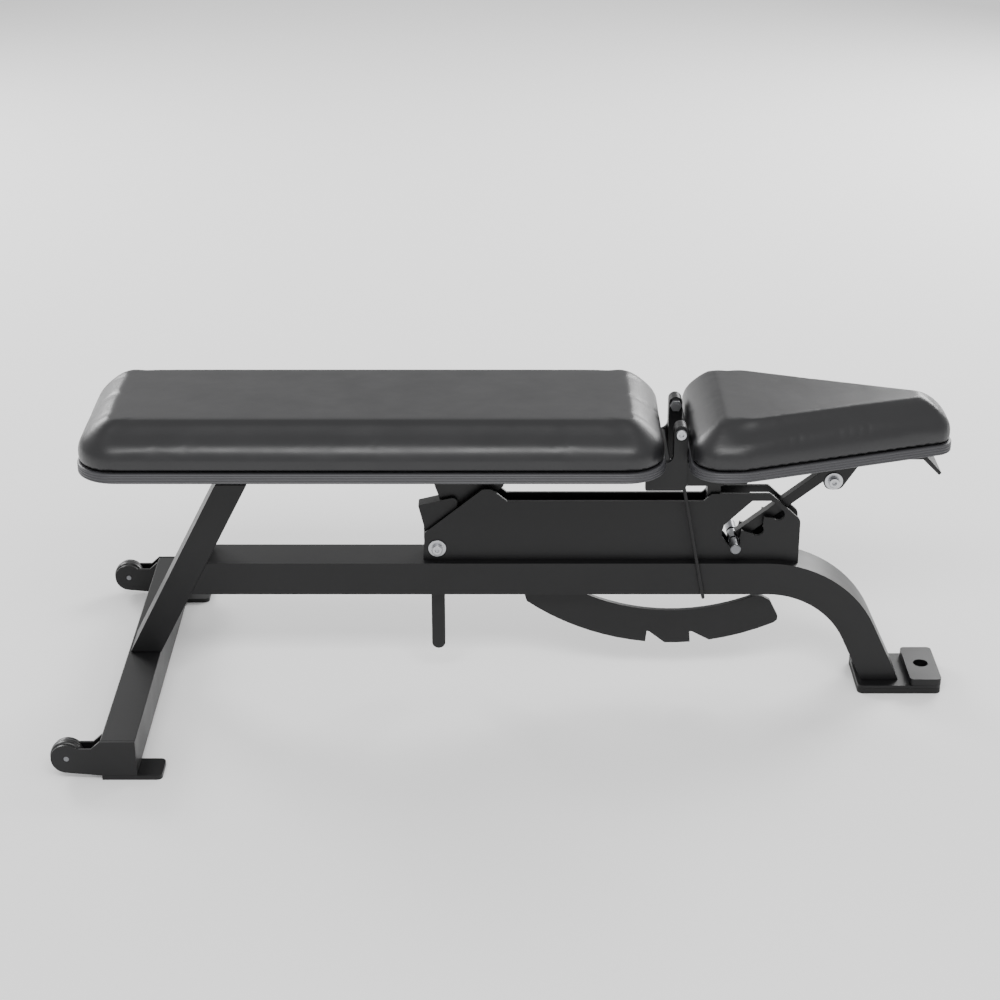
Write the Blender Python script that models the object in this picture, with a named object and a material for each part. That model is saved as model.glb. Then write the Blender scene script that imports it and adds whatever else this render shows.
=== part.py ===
"""Adjustable weight bench: a flat-to-upright back, a tilting seat and a bent-tube frame on wheels.

Sizes are in millimetres and go into the meshes in metres.  +X runs from the wheels to the front
foot, +Y across the bench, +Z up, with the floor at Z = 0 and the bench's mid-plane at Y = 0.
"""
import math

import bmesh
import bpy

MM = 0.001
GAP = 0.3                     # clearance between pieces that touch or turn on each other
SIDES = (("near", -1), ("far", 1))

# Hinge between the two pads
PIVOT = (246.2, 441.6)        # X, Z of the axis that both pads turn on
EAR_RADIUS = 10.0
EAR_RISE = 2.5                # crown of an ear above the axis line
HINGE_PLATE = 7.4             # thickness of one hinge plate
HINGE_LAYER = 7.7             # pitch of the three stacked plates
HINGE_INNER = 44.9            # |Y| of the innermost plate's inner face
HINGE_BOLT_RADIUS = 5.0

# Main tube: rectangular, bent down into the front leg
TUBE_WIDTH = 67.0
TUBE_HEIGHT = 52.0
TUBE_TOP = 214.6
WALL = 3.0
BEND_START = 388.2
BEND_RADIUS = 158.0           # on the tube's centre line
BEND_ANGLE = 65.0

# Front foot
FRONT_PAD_HEIGHT = 9.0
FRONT_PLATE_THICKNESS = 4.7
FRONT_FOOT = (534.8, 663.0)   # X range
FRONT_FOOT_HALF = 52.0
BLOCK_LENGTH = 48.5
BLOCK_HEIGHT = 10.8
FLOOR_BOLT_RADIUS = 11.5

# Rear stabiliser, its feet and its transport wheels
STABILISER_LENGTH = 600.0
STABILISER_WIDTH = 50.5
STABILISER_LEFT = -589.0
STABILISER_TOP = 62.5
REAR_FOOT_THICKNESS = 7.0
REAR_FOOT_REACH = 35.5        # how far a rear foot stands out in front of the stabiliser
REAR_FOOT_WIDTH = 48.0
CHEEK = 4.0
WHEEL_RADIUS = 24.7
WHEEL_WIDTH = 15.0
WHEEL_SIDE_GAP = 1.0
WHEEL_CENTRE = (-638.3, 34.4)
CHEEK_END_RADIUS = 22.5
ARM_TOP = 50.5
AXLE_RADIUS = 4.0

# Rear strut
STRUT_LEAN = 27.2             # degrees from vertical
STRUT_RUN = 47.0              # its thickness measured level
STRUT_TOP = 345.0

# Channel plates with the seat's ladder window
CHANNEL_OUTER = 18.5
CHANNEL_THICKNESS = 5.0
CHANNEL_LEFT = -133.0
CHANNEL_RIGHT = 434.7
CHANNEL_LOW = 311.3
CHANNEL_HIGH = 323.5

# Back pad
BACK_BOARD = (-629.0, 223.3)
PAD_HALF_WIDTH = 146.5
BOARD_BOTTOM = 396.5
BOARD_THICKNESS = 16.0
CUSHION_HEIGHT = 65.0
BACK_CORNER = 60.0
BACK_FRAME = (-453.0, 198.0)
BACK_FRAME_HALF = 20.0
FRAME_BOTTOM = 351.0
CROSS_LENGTH = 35.0

# Sector plate with the back's notches
SECTOR_INNER = 322.0
SECTOR_OUTER = 378.0
SECTOR_HALF = 4.0
SECTOR_END = -26.4            # degrees from straight down, positive towards the wheels
SECTOR_NOTCHES = (54.5, 40.5, 5.8, -4.7)
NOTCH_DEPTH = 18.0
NOTCH_FLAT = 0.6
NOTCH_RAMP = 3.9
SLOT_HALF = 8.0
SLOT_PLAY = 4.0

# Latch
LATCH_PIVOT = (-112.0, 233.7)
LATCH_HALF = 11.5
LATCH_BOLT_RADIUS = 5.0
LATCH_TOOTH_GAP = 0.5
LATCH_BAR_WIDTH = 20.4
LATCH_BAR_HALF = 5.0
LATCH_BAR_BOTTOM = 54.5
LATCH_SWING = 12.0

# Seat pad
SEAT_BOARD = (257.5, 650.0)
SEAT_TAPER_START = 330.0
SEAT_TAPER = 0.336
SEAT_CROSS_LEFT = 319.0
SEAT_CROSS_LENGTH = 28.0
SEAT_PLATE_HALF = 45.0
SEAT_PLATE_THICKNESS = 5.0
HANDLE_TIP = (630.5, 366.0)

# Prop that holds the seat up
PROP_BOLT = (476.0, 356.0)
PROP_PIN = (336.0, 244.0)
PROP_PIN_RADIUS = 8.0
PROP_PIN_HALF = 46.0
PIN_EDGE = 1.2                # chamfer on the pin's ends
PROP_HALF = 7.5
PROP_BOLT_RADIUS = 5.0
LADDER_STEP = 10.5            # degrees of seat tilt from one notch to the next
LADDER_NOTCHES = 3
LADDER_NOTCH_RADIUS = 9.6
TOOTH_HEIGHT = 11.0
BRACKET_INNER = 38.0
BRACKET_THICKNESS = 5.0

WASHER_RADIUS = 13.5
WASHER_THICKNESS = 2.0
ROD_RADIUS = 2.7

PAINT = ("black_powder_coat", (0.016, 0.016, 0.017), 0.42, 0.0)
ZINC = ("zinc_plate", (0.45, 0.45, 0.46), 0.35, 1.0)
STEEL = ("turned_steel", (0.2, 0.2, 0.21), 0.35, 1.0)
RUBBER = ("black_rubber", (0.012, 0.012, 0.012), 0.75, 0.0)
VINYL = ("black_vinyl", (0.03, 0.03, 0.032), 0.4, 0.0)
TRIM = ("grey_trim", (0.08, 0.08, 0.085), 0.5, 0.0)
ARC_STEP = 9.0                # degrees per facet on a rounded corner
CUT_PAST = 20.0               # how far a cutter runs past a tube's end


# ---- shared helpers -------------------------------------------------------------------------

def clear_scene():
    """Remove every object the file starts with."""
    for item in list(bpy.data.objects):
        bpy.data.objects.remove(item, do_unlink=True)


def material(finish):
    """The Principled material of a finish, made once."""
    name, colour, roughness, metallic = finish
    found = bpy.data.materials.get(name)
    if found:
        return found
    made = bpy.data.materials.new(name)
    made.use_nodes = True
    shader = made.node_tree.nodes["Principled BSDF"]
    shader.inputs["Base Color"].default_value = (*colour, 1.0)
    shader.inputs["Roughness"].default_value = roughness
    shader.inputs["Metallic"].default_value = metallic
    return made


def pivot_empty(name, x, z, y=0.0):
    """An empty on a joint's axis, for moving pieces to hang from."""
    empty = bpy.data.objects.new(name, None)
    empty.location = (x * MM, y * MM, z * MM)
    bpy.context.scene.collection.objects.link(empty)
    return empty


def add_object(name, mesh, origin, finish, parent):
    """Link a mesh whose vertices are world millimetres, with its origin where asked."""
    for vertex in mesh.vertices:
        vertex.co = [(value - base) * MM for value, base in zip(vertex.co, origin)]
    item = bpy.data.objects.new(name, mesh)
    bpy.context.scene.collection.objects.link(item)
    base = parent.location if parent else (0.0, 0.0, 0.0)
    item.parent = parent
    item.location = [value * MM - shift for value, shift in zip(origin, base)]
    if finish:
        mesh.materials.append(material(finish))
    return item


def rings_mesh(name, rings, closed=False):
    """A closed body through rings of equal length; its first and last rings are capped unless
    the rings themselves close on each other."""
    data = bmesh.new()
    rows = [[data.verts.new(point) for point in ring] for ring in rings]
    pairs = list(zip(rows, rows[1:] + rows[:1])) if closed else list(zip(rows, rows[1:]))
    for low, high in pairs:
        for index in range(len(low)):
            after = (index + 1) % len(low)
            data.faces.new((low[index], low[after], high[after], high[index]))
    if not closed:
        data.faces.new(rows[0])
        data.faces.new(rows[-1])
    bmesh.ops.recalc_face_normals(data, faces=data.faces)
    mesh = bpy.data.meshes.new(name)
    data.to_mesh(mesh)
    data.free()
    return mesh


def extrusion(name, outline, axis, low, high, finish=None, parent=None):
    """A prism: the outline is X, Z for axis Y, X, Y for axis Z and Y, Z for axis X."""
    place = {
        "X": lambda point, depth: (depth, point[0], point[1]),
        "Y": lambda point, depth: (point[0], depth, point[1]),
        "Z": lambda point, depth: (point[0], point[1], depth),
    }[axis]
    rings = [[place(point, depth) for point in outline] for depth in (low, high)]
    mesh = rings_mesh(name, rings)
    corners = [[point[i] for ring in rings for point in ring] for i in range(3)]
    origin = [(min(values) + max(values)) / 2 for values in corners]
    return add_object(name, mesh, origin, finish, parent)


def turned(name, profile, centre, finish=None, parent=None, segments=32):
    """A piece turned about a line along Y through centre (X, Y, Z).  The profile is a list of
    (radius, y): closed round a bore if no radius is zero, otherwise solid to the axis."""
    x, y, z = centre
    solid = min(radius for radius, _ in profile) == 0.0
    if not solid:
        rings = []
        for step in range(segments):
            angle = math.tau * step / segments
            rings.append([(x + r * math.cos(angle), y + t, z + r * math.sin(angle)) for r, t in profile])
        mesh = rings_mesh(name, rings, closed=True)
    else:
        turns = [math.tau * step / segments for step in range(segments)]
        body = [point for point in profile if point[0] > 0.0]
        rings = [[(x + r * math.cos(a), y + t, z + r * math.sin(a)) for a in turns] for r, t in body]
        mesh = rings_mesh(name, rings)
    item = add_object(name, mesh, centre, finish, parent)
    smooth(item)
    return item


def smooth(item, angle=30.0):
    """Shade a round piece smooth, with sharp edges kept."""
    item.data.shade_smooth()
    item.data.set_sharp_from_angle(angle=math.radians(angle))


def cut(item, *cutters):
    """Cut each cutter out of the item with a live Boolean."""
    for cutter in cutters:
        cutter.hide_render = True
        cutter.display_type = "WIRE"
        modifier = item.modifiers.new(cutter.name, "BOOLEAN")
        modifier.operation = "DIFFERENCE"
        modifier.solver = "EXACT"
        modifier.object = cutter
    return item


def drill(item, x, z, radius, low, high, segments=32):
    """A round hole along Y."""
    outline = circle(x, z, radius, segments)
    return cut(item, extrusion("drill_" + item.name, outline, "Y", low, high))


def circle(x, z, radius, segments=32):
    """Points once round a circle."""
    return arc(x, z, radius, 0.0, 360.0 - 360.0 / segments, segments - 1)


def arc(x, z, radius, start, end, steps=None):
    """Points along an arc, angles in degrees from +X towards +Z."""
    steps = steps or max(2, round(abs(end - start) / ARC_STEP))
    angles = [math.radians(start + (end - start) * i / steps) for i in range(steps + 1)]
    return [(x + radius * math.cos(a), z + radius * math.sin(a)) for a in angles]


def rounded(corners):
    """An outline from (a, b, radius) corners, each turned by an arc of its radius."""
    outline = []
    for index, (a, b, radius) in enumerate(corners):
        if radius <= 0.0:
            outline.append((a, b))
            continue
        before = corners[index - 1]
        after = corners[(index + 1) % len(corners)]
        back = math.atan2(before[1] - b, before[0] - a)
        ahead = math.atan2(after[1] - b, after[0] - a)
        turn = (ahead - back + math.pi) % math.tau - math.pi
        reach = radius / math.tan(abs(turn) / 2)
        middle = back + turn / 2
        depth = radius / math.sin(abs(turn) / 2)
        cx, cz = a + depth * math.cos(middle), b + depth * math.sin(middle)
        first = (a + reach * math.cos(back), b + reach * math.sin(back))
        last = (a + reach * math.cos(ahead), b + reach * math.sin(ahead))
        start = math.degrees(math.atan2(first[1] - cz, first[0] - cx))
        sweep = (math.degrees(math.atan2(last[1] - cz, last[0] - cx)) - start + 180) % 360 - 180
        outline += arc(cx, cz, radius, start, start + sweep)
    return outline


def box_outline(low, high, bottom, top, radius=0.0):
    """A rectangle with equal corner radii."""
    return rounded([(low, bottom, radius), (high, bottom, radius), (high, top, radius), (low, top, radius)])


def side_range(side, inner, thickness):
    """Low and high Y of a plate whose inner face lies at a distance from the mid-plane."""
    faces = (side * inner, side * (inner + thickness))
    return min(faces), max(faces)


def from_pivot(radius, angle):
    """X, Z at a radius from the pads' axis, angle from straight down, positive to the wheels."""
    turn = math.radians(angle)
    return PIVOT[0] - radius * math.sin(turn), PIVOT[1] - radius * math.cos(turn)


# ---- worked-out places ----------------------------------------------------------------------

TUBE_BOTTOM = TUBE_TOP - TUBE_HEIGHT
TUBE_HALF = TUBE_WIDTH / 2
BEND_CENTRE_Z = TUBE_TOP - TUBE_HEIGHT / 2 - BEND_RADIUS
STABILISER_RIGHT = STABILISER_LEFT + STABILISER_WIDTH
STABILISER_BOTTOM = REAR_FOOT_THICKNESS + GAP
STABILISER_HALF = STABILISER_LENGTH / 2
CHEEK_INNER = STABILISER_HALF - CHEEK - WHEEL_WIDTH - 2 * WHEEL_SIDE_GAP - CHEEK
LEG_BOTTOM = FRONT_PAD_HEIGHT + GAP + FRONT_PLATE_THICKNESS + GAP
CUSHION_BOTTOM = BOARD_BOTTOM + BOARD_THICKNESS + GAP
FRAME_TOP = BOARD_BOTTOM - GAP
CHANNEL_INNER = CHANNEL_OUTER - CHANNEL_THICKNESS
STRUT_SLOPE = math.tan(math.radians(STRUT_LEAN))
PIN_RADIUS_OF_TURN = math.dist(PIVOT, PROP_PIN)
PIN_ANGLE = math.degrees(math.atan2(PIVOT[0] - PROP_PIN[0], PIVOT[1] - PROP_PIN[1]))
BASE_CROSS = (PIVOT[0] + 47.0, PIVOT[0] + 67.0)
HINGE_OUTER = HINGE_INNER + 2 * HINGE_LAYER + HINGE_PLATE


# ---- frame ----------------------------------------------------------------------------------

def tube_outline(inset, start_overrun, end_overrun):
    """Side view of the main tube, inset by a wall: level run, bend, then the leaning leg."""
    upper = BEND_RADIUS + TUBE_HEIGHT / 2 - inset
    lower = BEND_RADIUS - TUBE_HEIGHT / 2 + inset
    turn = math.radians(BEND_ANGLE)
    outer = arc(BEND_START, BEND_CENTRE_Z, upper, 90.0, 90.0 - BEND_ANGLE, 14)
    inner = arc(BEND_START, BEND_CENTRE_Z, lower, 90.0 - BEND_ANGLE, 90.0, 14)
    floor = LEG_BOTTOM - end_overrun
    slope = math.cos(turn) / math.sin(turn)
    outer_foot = (outer[-1][0] + (outer[-1][1] - floor) * slope, floor)
    inner_foot = (inner[0][0] + (inner[0][1] - floor) * slope, floor)
    start = [(strut_face(TUBE_BOTTOM + inset) - start_overrun, TUBE_BOTTOM + inset),
             (strut_face(TUBE_TOP - inset) - start_overrun, TUBE_TOP - inset)]
    return start + outer + [outer_foot, inner_foot] + inner


def strut_face(z):
    """X just in front of the strut at a height."""
    return STABILISER_RIGHT + STRUT_SLOPE * (z - STABILISER_TOP) + GAP


def main_tube():
    """The bent backbone, slotted for the sector plate and the latch."""
    tube = extrusion("main_tube", tube_outline(0.0, 0.0, 0.0), "Y", -TUBE_HALF, TUBE_HALF, PAINT)
    half = TUBE_HALF - WALL
    cut(tube, extrusion("tube_hollow", tube_outline(WALL, CUT_PAST, CUT_PAST), "Y", -half, half))
    for label, middle in (("top", TUBE_TOP - WALL / 2), ("bottom", TUBE_BOTTOM + WALL / 2)):
        deep = PIVOT[1] - middle
        outer = PIVOT[0] - math.sqrt(SECTOR_OUTER ** 2 - deep ** 2) - SLOT_PLAY
        inner = PIVOT[0] - math.sqrt(SECTOR_INNER ** 2 - deep ** 2) + SLOT_PLAY
        slot = box_outline(outer, inner, -SLOT_HALF, SLOT_HALF, SLOT_HALF - 1.0)
        cut(tube, extrusion("sector_slot_" + label, slot, "Z", middle - 2 * WALL, middle + 2 * WALL))
        swing = (LATCH_PIVOT[1] - middle) * math.sin(math.radians(LATCH_SWING))
        left = LATCH_PIVOT[0] - LATCH_BAR_WIDTH / 2 - SLOT_PLAY / 2
        right = LATCH_PIVOT[0] + LATCH_BAR_WIDTH / 2 + swing + SLOT_PLAY
        slot = box_outline(left, right, -SLOT_HALF, SLOT_HALF)
        cut(tube, extrusion("latch_slot_" + label, slot, "Z", middle - 2 * WALL, middle + 2 * WALL))
    smooth(tube, 20.0)


def rear_strut():
    """The leaning strut that carries the back's frame, and its rubber bumper."""
    def outline(inset, overrun):
        low, high = STABILISER_TOP + GAP - overrun, STRUT_TOP + overrun
        edges = []
        for z in (low, high):
            right = strut_face(z) - GAP - inset
            edges.append((right - STRUT_RUN + 2 * inset, right))
        return [(edges[0][0], low), (edges[0][1], low), (edges[1][1], high), (edges[1][0], high)]
    strut = extrusion("rear_strut", outline(0.0, 0.0), "Y", -TUBE_HALF, TUBE_HALF, PAINT)
    half = TUBE_HALF - WALL
    cut(strut, extrusion("strut_hollow", outline(WALL, CUT_PAST), "Y", -half, half))
    right = strut_face(STRUT_TOP) - GAP
    pad = box_outline(right - STRUT_RUN, right, 3.0 - TUBE_HALF, TUBE_HALF - 3.0, 6.0)
    extrusion("strut_bumper", pad, "Z", STRUT_TOP + GAP, FRAME_BOTTOM - GAP, RUBBER)


def rear_stabiliser():
    """The cross tube at the wheels' end."""
    half = STABILISER_HALF - CHEEK - GAP
    outline = box_outline(STABILISER_LEFT, STABILISER_RIGHT, STABILISER_BOTTOM, STABILISER_TOP)
    hollow = box_outline(STABILISER_LEFT + WALL, STABILISER_RIGHT - WALL,
                         STABILISER_BOTTOM + WALL, STABILISER_TOP - WALL)
    tube = extrusion("rear_stabiliser", outline, "Y", -half, half, PAINT)
    cut(tube, extrusion("stabiliser_hollow", hollow, "Y", -half - 5.0, half + 5.0))


def cheek_outline(right, step_top):
    """Side view of a wheel cheek: a round end on the axle, an arm, and its welded end."""
    x, z = WHEEL_CENTRE
    rise = math.degrees(math.asin((ARM_TOP - z) / CHEEK_END_RADIUS))
    fall = STABILISER_LEFT - GAP
    end = arc(x, z, CHEEK_END_RADIUS, rise, 268.0)
    welded = [(fall, STABILISER_BOTTOM)]
    if right > fall:
        welded += [(right, STABILISER_BOTTOM), (right, step_top)]
    return end + welded + [(fall, step_top), (fall - 13.0, ARM_TOP)]


def wheels():
    """Two cheeks, an axle and a wheel at each end of the stabiliser."""
    x, z = WHEEL_CENTRE
    for label, side in SIDES:
        outer = side_range(side, STABILISER_HALF - CHEEK, CHEEK)
        plate = extrusion("wheel_cheek_outer_" + label, cheek_outline(STABILISER_RIGHT, STABILISER_TOP),
                          "Y", *outer, PAINT)
        drill(plate, x, z, AXLE_RADIUS + GAP, outer[0] - 1.0, outer[1] + 1.0)
        inner = side_range(side, CHEEK_INNER, CHEEK)
        plate = extrusion("wheel_cheek_inner_" + label, cheek_outline(-math.inf, STABILISER_TOP),
                          "Y", *inner, PAINT)
        drill(plate, x, z, AXLE_RADIUS + GAP, inner[0] - 1.0, inner[1] + 1.0)
        middle = side * (CHEEK_INNER + CHEEK + WHEEL_SIDE_GAP + WHEEL_WIDTH / 2)
        hub = pivot_empty("wheel_axis_" + label, x, z, middle)
        half, edge, bore = WHEEL_WIDTH / 2, 3.0, AXLE_RADIUS + GAP
        profile = [(bore, -half), (WHEEL_RADIUS - edge, -half), (WHEEL_RADIUS, edge - half),
                   (WHEEL_RADIUS, half - edge), (WHEEL_RADIUS - edge, half), (bore, half)]
        turned("wheel_" + label, profile, (x, middle, z), RUBBER, hub, 40)
        low, high = side_range(side, CHEEK_INNER, STABILISER_HALF - CHEEK_INNER - 0.5)
        centre = (low + high) / 2
        reach = (high - low) / 2
        profile = [(0.0, -reach), (AXLE_RADIUS, -reach), (AXLE_RADIUS, reach), (0.0, reach)]
        turned("wheel_axle_" + label, profile, (x, centre, z), STEEL, None, 24)


def feet():
    """Rear foot plates, and the front foot with its rubber pad and bolt-down block."""
    for label, side in SIDES:
        low, high = side_range(side, STABILISER_HALF - REAR_FOOT_WIDTH, REAR_FOOT_WIDTH)
        right = STABILISER_RIGHT + REAR_FOOT_REACH
        left = STABILISER_LEFT
        outline = rounded([(left, low, 0), (right, low, 8), (right, high, 8), (left, high, 0)])
        extrusion("rear_foot_" + label, outline, "Z", 0.0, REAR_FOOT_THICKNESS, PAINT)
    half = FRONT_FOOT_HALF
    pad = box_outline(*FRONT_FOOT, -half, half, 9.0)
    extrusion("front_foot_pad", pad, "Z", 0.0, FRONT_PAD_HEIGHT, RUBBER)
    plate_bottom = FRONT_PAD_HEIGHT + GAP
    plate_top = plate_bottom + FRONT_PLATE_THICKNESS
    extrusion("front_foot_plate", pad, "Z", plate_bottom, plate_top, PAINT)
    left = FRONT_FOOT[1] - BLOCK_LENGTH
    outline = box_outline(left, FRONT_FOOT[1], -half, half, 7.0)
    bottom = plate_top + GAP
    block = extrusion("front_foot_block", outline, "Z", bottom, bottom + BLOCK_HEIGHT, PAINT)
    hole = circle(left + BLOCK_LENGTH / 2, 0.0, FLOOR_BOLT_RADIUS)
    cut(block, extrusion("floor_bolt_hole", hole, "Z", plate_top - 5.0, plate_top + BLOCK_HEIGHT + 5.0))


# ---- channel and ladder ---------------------------------------------------------------------

def ladder_outline():
    """The window that the prop's pin rides in: a round notch for each seat height on its lower
    side, with a pointed tooth between neighbours, and a clear space above."""
    notches = [from_pivot(PIN_RADIUS_OF_TURN, PIN_ANGLE - LADDER_STEP * i) for i in range(LADDER_NOTCHES)]
    run = math.atan2(notches[-1][1] - notches[0][1], notches[-1][0] - notches[0][0])
    across, up = math.degrees(run), run + math.pi / 2
    lift = (TOOTH_HEIGHT * math.cos(up), TOOTH_HEIGHT * math.sin(up))
    outline = []
    for index in reversed(range(LADDER_NOTCHES)):
        x, z = notches[index]
        outline += arc(x, z, LADDER_NOTCH_RADIUS, across, across - 180.0, 12)
        if index:
            low = notches[index - 1]
            outline.append(((x + low[0]) / 2 + lift[0], (z + low[1]) / 2 + lift[1]))
    top = CHANNEL_HIGH - 11.5
    first, last = notches[0], notches[-1]
    left = first[0] - 18.5
    return outline + [(left, first[1] + 8.0), (left, first[1] + 18.0), (left + 2.5, first[1] + 28.0),
                      (last[0] - 40.0, top), (last[0] - 11.5, top), (last[0] - 4.5, top - 5.0)]


def channel_plates():
    """The pair of plates standing on the main tube, round the sector, latch and prop pin."""
    bend_top = BEND_RADIUS + TUBE_HEIGHT / 2 + GAP
    last = math.degrees(math.acos((CHANNEL_RIGHT - BEND_START) / bend_top))
    follow = arc(BEND_START, BEND_CENTRE_Z, bend_top, 90.0, last, 4)
    left = CHANNEL_LEFT
    outline = follow[:-1] + rounded([
        (*follow[-1], 0), (CHANNEL_RIGHT, CHANNEL_HIGH - 43.0, 12),
        (387.8, CHANNEL_HIGH, 3), (299.7, CHANNEL_HIGH, 3),
        (287.9, CHANNEL_LOW, 3), (-6.6, CHANNEL_LOW, 3), (-30.0, 331.0, 9), (-43.0, 331.0, 9),
        (left + 2.0, 258.8, 3), (left, TUBE_TOP + GAP, 0)])
    for label, side in SIDES:
        low, high = side_range(side, CHANNEL_INNER, CHANNEL_THICKNESS)
        plate = extrusion("channel_plate_" + label, outline, "Y", low, high, PAINT)
        cut(plate, extrusion("ladder_window_" + label, ladder_outline(), "Y", low - 2.0, high + 2.0))
        drill(plate, *LATCH_PIVOT, LATCH_BOLT_RADIUS + GAP, low - 1.0, high + 1.0)


def hinge_support():
    """The post and cross bar that carry the pads' hinge, and the bent stay rod."""
    left, right = BASE_CROSS
    bottom, top = FRAME_BOTTOM + 1.0, FRAME_TOP - 5.0
    post = box_outline(left, right, GAP - CHANNEL_INNER, CHANNEL_INNER - GAP)
    extrusion("hinge_post", post, "Z", TUBE_TOP + GAP, bottom - GAP, PAINT)
    half = HINGE_INNER - GAP
    extrusion("hinge_crossbar", box_outline(left, right, bottom, top, 2.0), "Y", -half, half, PAINT)
    stay_rod(bottom)


def stay_rod(top):
    """A bent round rod from one inner hinge plate, under the main tube, to the other."""
    x_top, x_low = PIVOT[0] + 8.0, PIVOT[0] + 44.0
    y_top = HINGE_INNER + HINGE_PLATE / 2
    y_low = TUBE_HALF + ROD_RADIUS + 3.0
    under = TUBE_BOTTOM - ROD_RADIUS - 1.5
    route = [(x_top, -y_top, top - GAP - ROD_RADIUS / 2), (x_low, -y_low, under + 5.0),
             (x_low + 0.8, 1.5 - y_low, under + 1.5), (x_low + 1.0, 5.0 - y_low, under)]
    route += [(x, -y, z) for x, y, z in reversed(route)]
    curve = bpy.data.curves.new("stay_rod", "CURVE")
    curve.dimensions = "3D"
    curve.bevel_depth = ROD_RADIUS * MM
    curve.bevel_resolution = 3
    curve.use_fill_caps = True
    line = curve.splines.new("POLY")
    line.points.add(len(route) - 1)
    for point, (x, y, z) in zip(line.points, route):
        point.co = (x * MM, y * MM, z * MM, 1.0)
    item = bpy.data.objects.new("stay_rod", curve)
    bpy.context.scene.collection.objects.link(item)
    curve.materials.append(material(PAINT))


# ---- pads' hinge ----------------------------------------------------------------------------

def hinge_outline(reach, bottom, top, fillet):
    """An ear on the axis with a wing that reaches to one side (reach is negative to the wheels)."""
    x, z = PIVOT
    ear = EAR_RADIUS
    way = math.copysign(1.0, reach)
    end, near, far = x + reach, x + way * ear, x - way * ear
    bend = [(near + way * fillet - way * fillet * math.sin(a), top + fillet - fillet * math.cos(a))
            for a in (math.radians(step * 15.0) for step in range(7))]
    wing = rounded([(far, z, 0), (far, bottom, 9), (end, bottom, 3), (end, top, 3),
                    (near + way * (fillet + 3.0), top, 0)])
    crown = arc(x, z + EAR_RISE, ear, 0.0, 180.0, 12)
    return wing[1:-1] + bend + (crown if way > 0 else crown[::-1])


def hinge_plate(name, layer, side, reach, bottom, top, fillet, parent):
    """One drilled hinge plate in its layer of the stack."""
    low, high = side_range(side, HINGE_INNER + layer * HINGE_LAYER, HINGE_PLATE)
    plate = extrusion(name, hinge_outline(reach, bottom, top, fillet), "Y", low, high, PAINT, parent)
    return drill(plate, *PIVOT, HINGE_BOLT_RADIUS + GAP, low - 1.0, high + 1.0)


def hinge_plates(back, seat):
    """Three plates a side: the base's inside, then the seat's, and the back's outside."""
    slim = 4.5
    wing_top = BOARD_BOTTOM - slim - GAP
    for label, side in SIDES:
        hinge_plate("base_hinge_plate_" + label, 0, side, BASE_CROSS[1] - PIVOT[0], FRAME_BOTTOM + 1.0,
                    wing_top, slim, None)
        hinge_plate("seat_hinge_plate_" + label, 1, side, SEAT_CROSS_LEFT + SEAT_CROSS_LENGTH - PIVOT[0],
                    FRAME_BOTTOM + 7.0, wing_top, slim, seat)
        hinge_plate("back_hinge_plate_" + label, 2, side, BACK_FRAME[1] - 2.0 - PIVOT[0], FRAME_BOTTOM,
                    FRAME_TOP - 1.0, PIVOT[0] - EAR_RADIUS - BACK_BOARD[1] - 1.0, back)


def bolt(name, radius, head, head_height, shank, centre, side, parent=None):
    """A socket-head bolt along Y with its head on the given side, a hexagon recess in its face."""
    x, y, z = centre
    socket, deep, edge = head * 0.48, head_height * 0.6, 1.0
    profile = [(0.0, -shank), (radius, -shank), (radius, 0.0), (head, 0.0), (head, head_height - edge),
               (head - edge, head_height), (0.0, head_height)]
    item = turned(name, [(r, side * t) for r, t in profile], centre, ZINC, parent)
    flats = circle(x, z, socket, 6)
    ends = sorted((y + side * (head_height - deep), y + side * (head_height + 2.0)))
    return cut(item, extrusion("socket_" + name, flats, "Y", *ends))


def washer(name, bore, centre, side, radius=WASHER_RADIUS, parent=None):
    """A flat washer whose inner face lies at centre."""
    profile = [(bore, 0.0), (radius, 0.0), (radius, WASHER_THICKNESS), (bore, WASHER_THICKNESS)]
    return turned(name, [(r, side * t) for r, t in profile], centre, ZINC, parent)


def nut(name, bore, across, height, centre, side, parent=None):
    """A hexagon nut whose seat lies at centre."""
    x, y, z = centre
    low, high = sorted((y, y + side * height))
    item = extrusion(name, circle(x, z, across, 6), "Y", low, high, ZINC, parent)
    return drill(item, x, z, bore, low - 1.0, high + 1.0, 24)


def hinge_bolts():
    """A short bolt and nut through the three plates on each side."""
    for label, side in SIDES:
        face = HINGE_OUTER + GAP
        length = face - HINGE_INNER + 7.0
        seat_of_head = (PIVOT[0], side * face, PIVOT[1])
        bolt("hinge_bolt_" + label, HINGE_BOLT_RADIUS, 8.0, 6.0, length, seat_of_head, side)
        nut("hinge_nut_" + label, HINGE_BOLT_RADIUS + GAP, 9.0, 6.0,
            (PIVOT[0], side * (HINGE_INNER - GAP), PIVOT[1]), -side)


# ---- back -----------------------------------------------------------------------------------

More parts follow.
